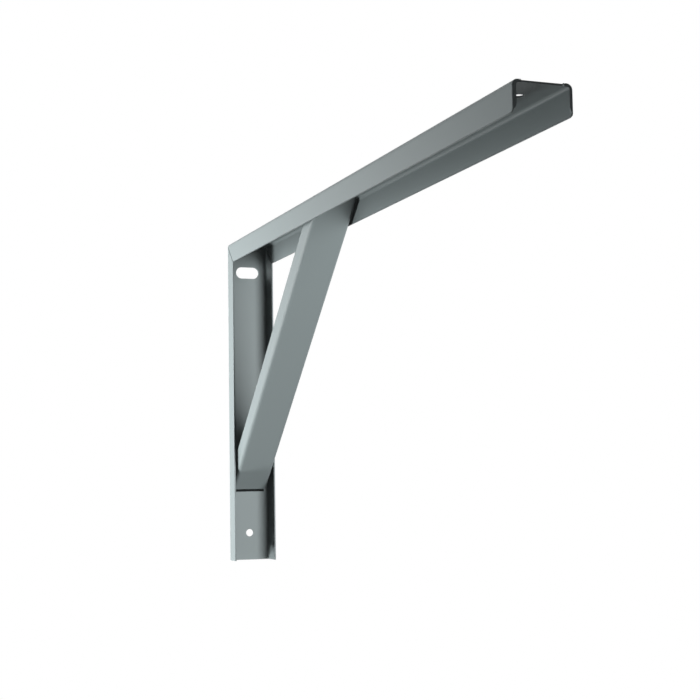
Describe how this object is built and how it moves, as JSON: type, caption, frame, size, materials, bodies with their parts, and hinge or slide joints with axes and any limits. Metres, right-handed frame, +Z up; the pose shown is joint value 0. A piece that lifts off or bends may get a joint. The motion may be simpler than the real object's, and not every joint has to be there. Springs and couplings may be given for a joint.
{
  "type": "angle bracket",
  "caption": "Welded shelf bracket of folded steel channel: a wall upright and a longer shelf arm mitred at the corner, with a diagonal channel brace between them.",
  "frame": {"origin": "middle of the upright's back face, in the plane of the wall, half way up the upright", "axes": "+X out from the wall along the shelf arm, +Y across the bracket, +Z up; the bracket is mirror-symmetric about Y = 0"},
  "size_m": [0.6005, 0.04, 0.304],
  "materials": {
    "powder_coat": "light cool grey powder coat, satin, over folded and welded sheet steel"
  },
  "bodies": {
    "root": {"upright_channel": "powder_coat", "arm_channel": "powder_coat", "brace_channel": "powder_coat", "corner_weld": "powder_coat", "mitre_side_welds": "powder_coat", "brace_foot_welds": "powder_coat", "brace_head_welds": "powder_coat"}
  },
  "joints": []
}
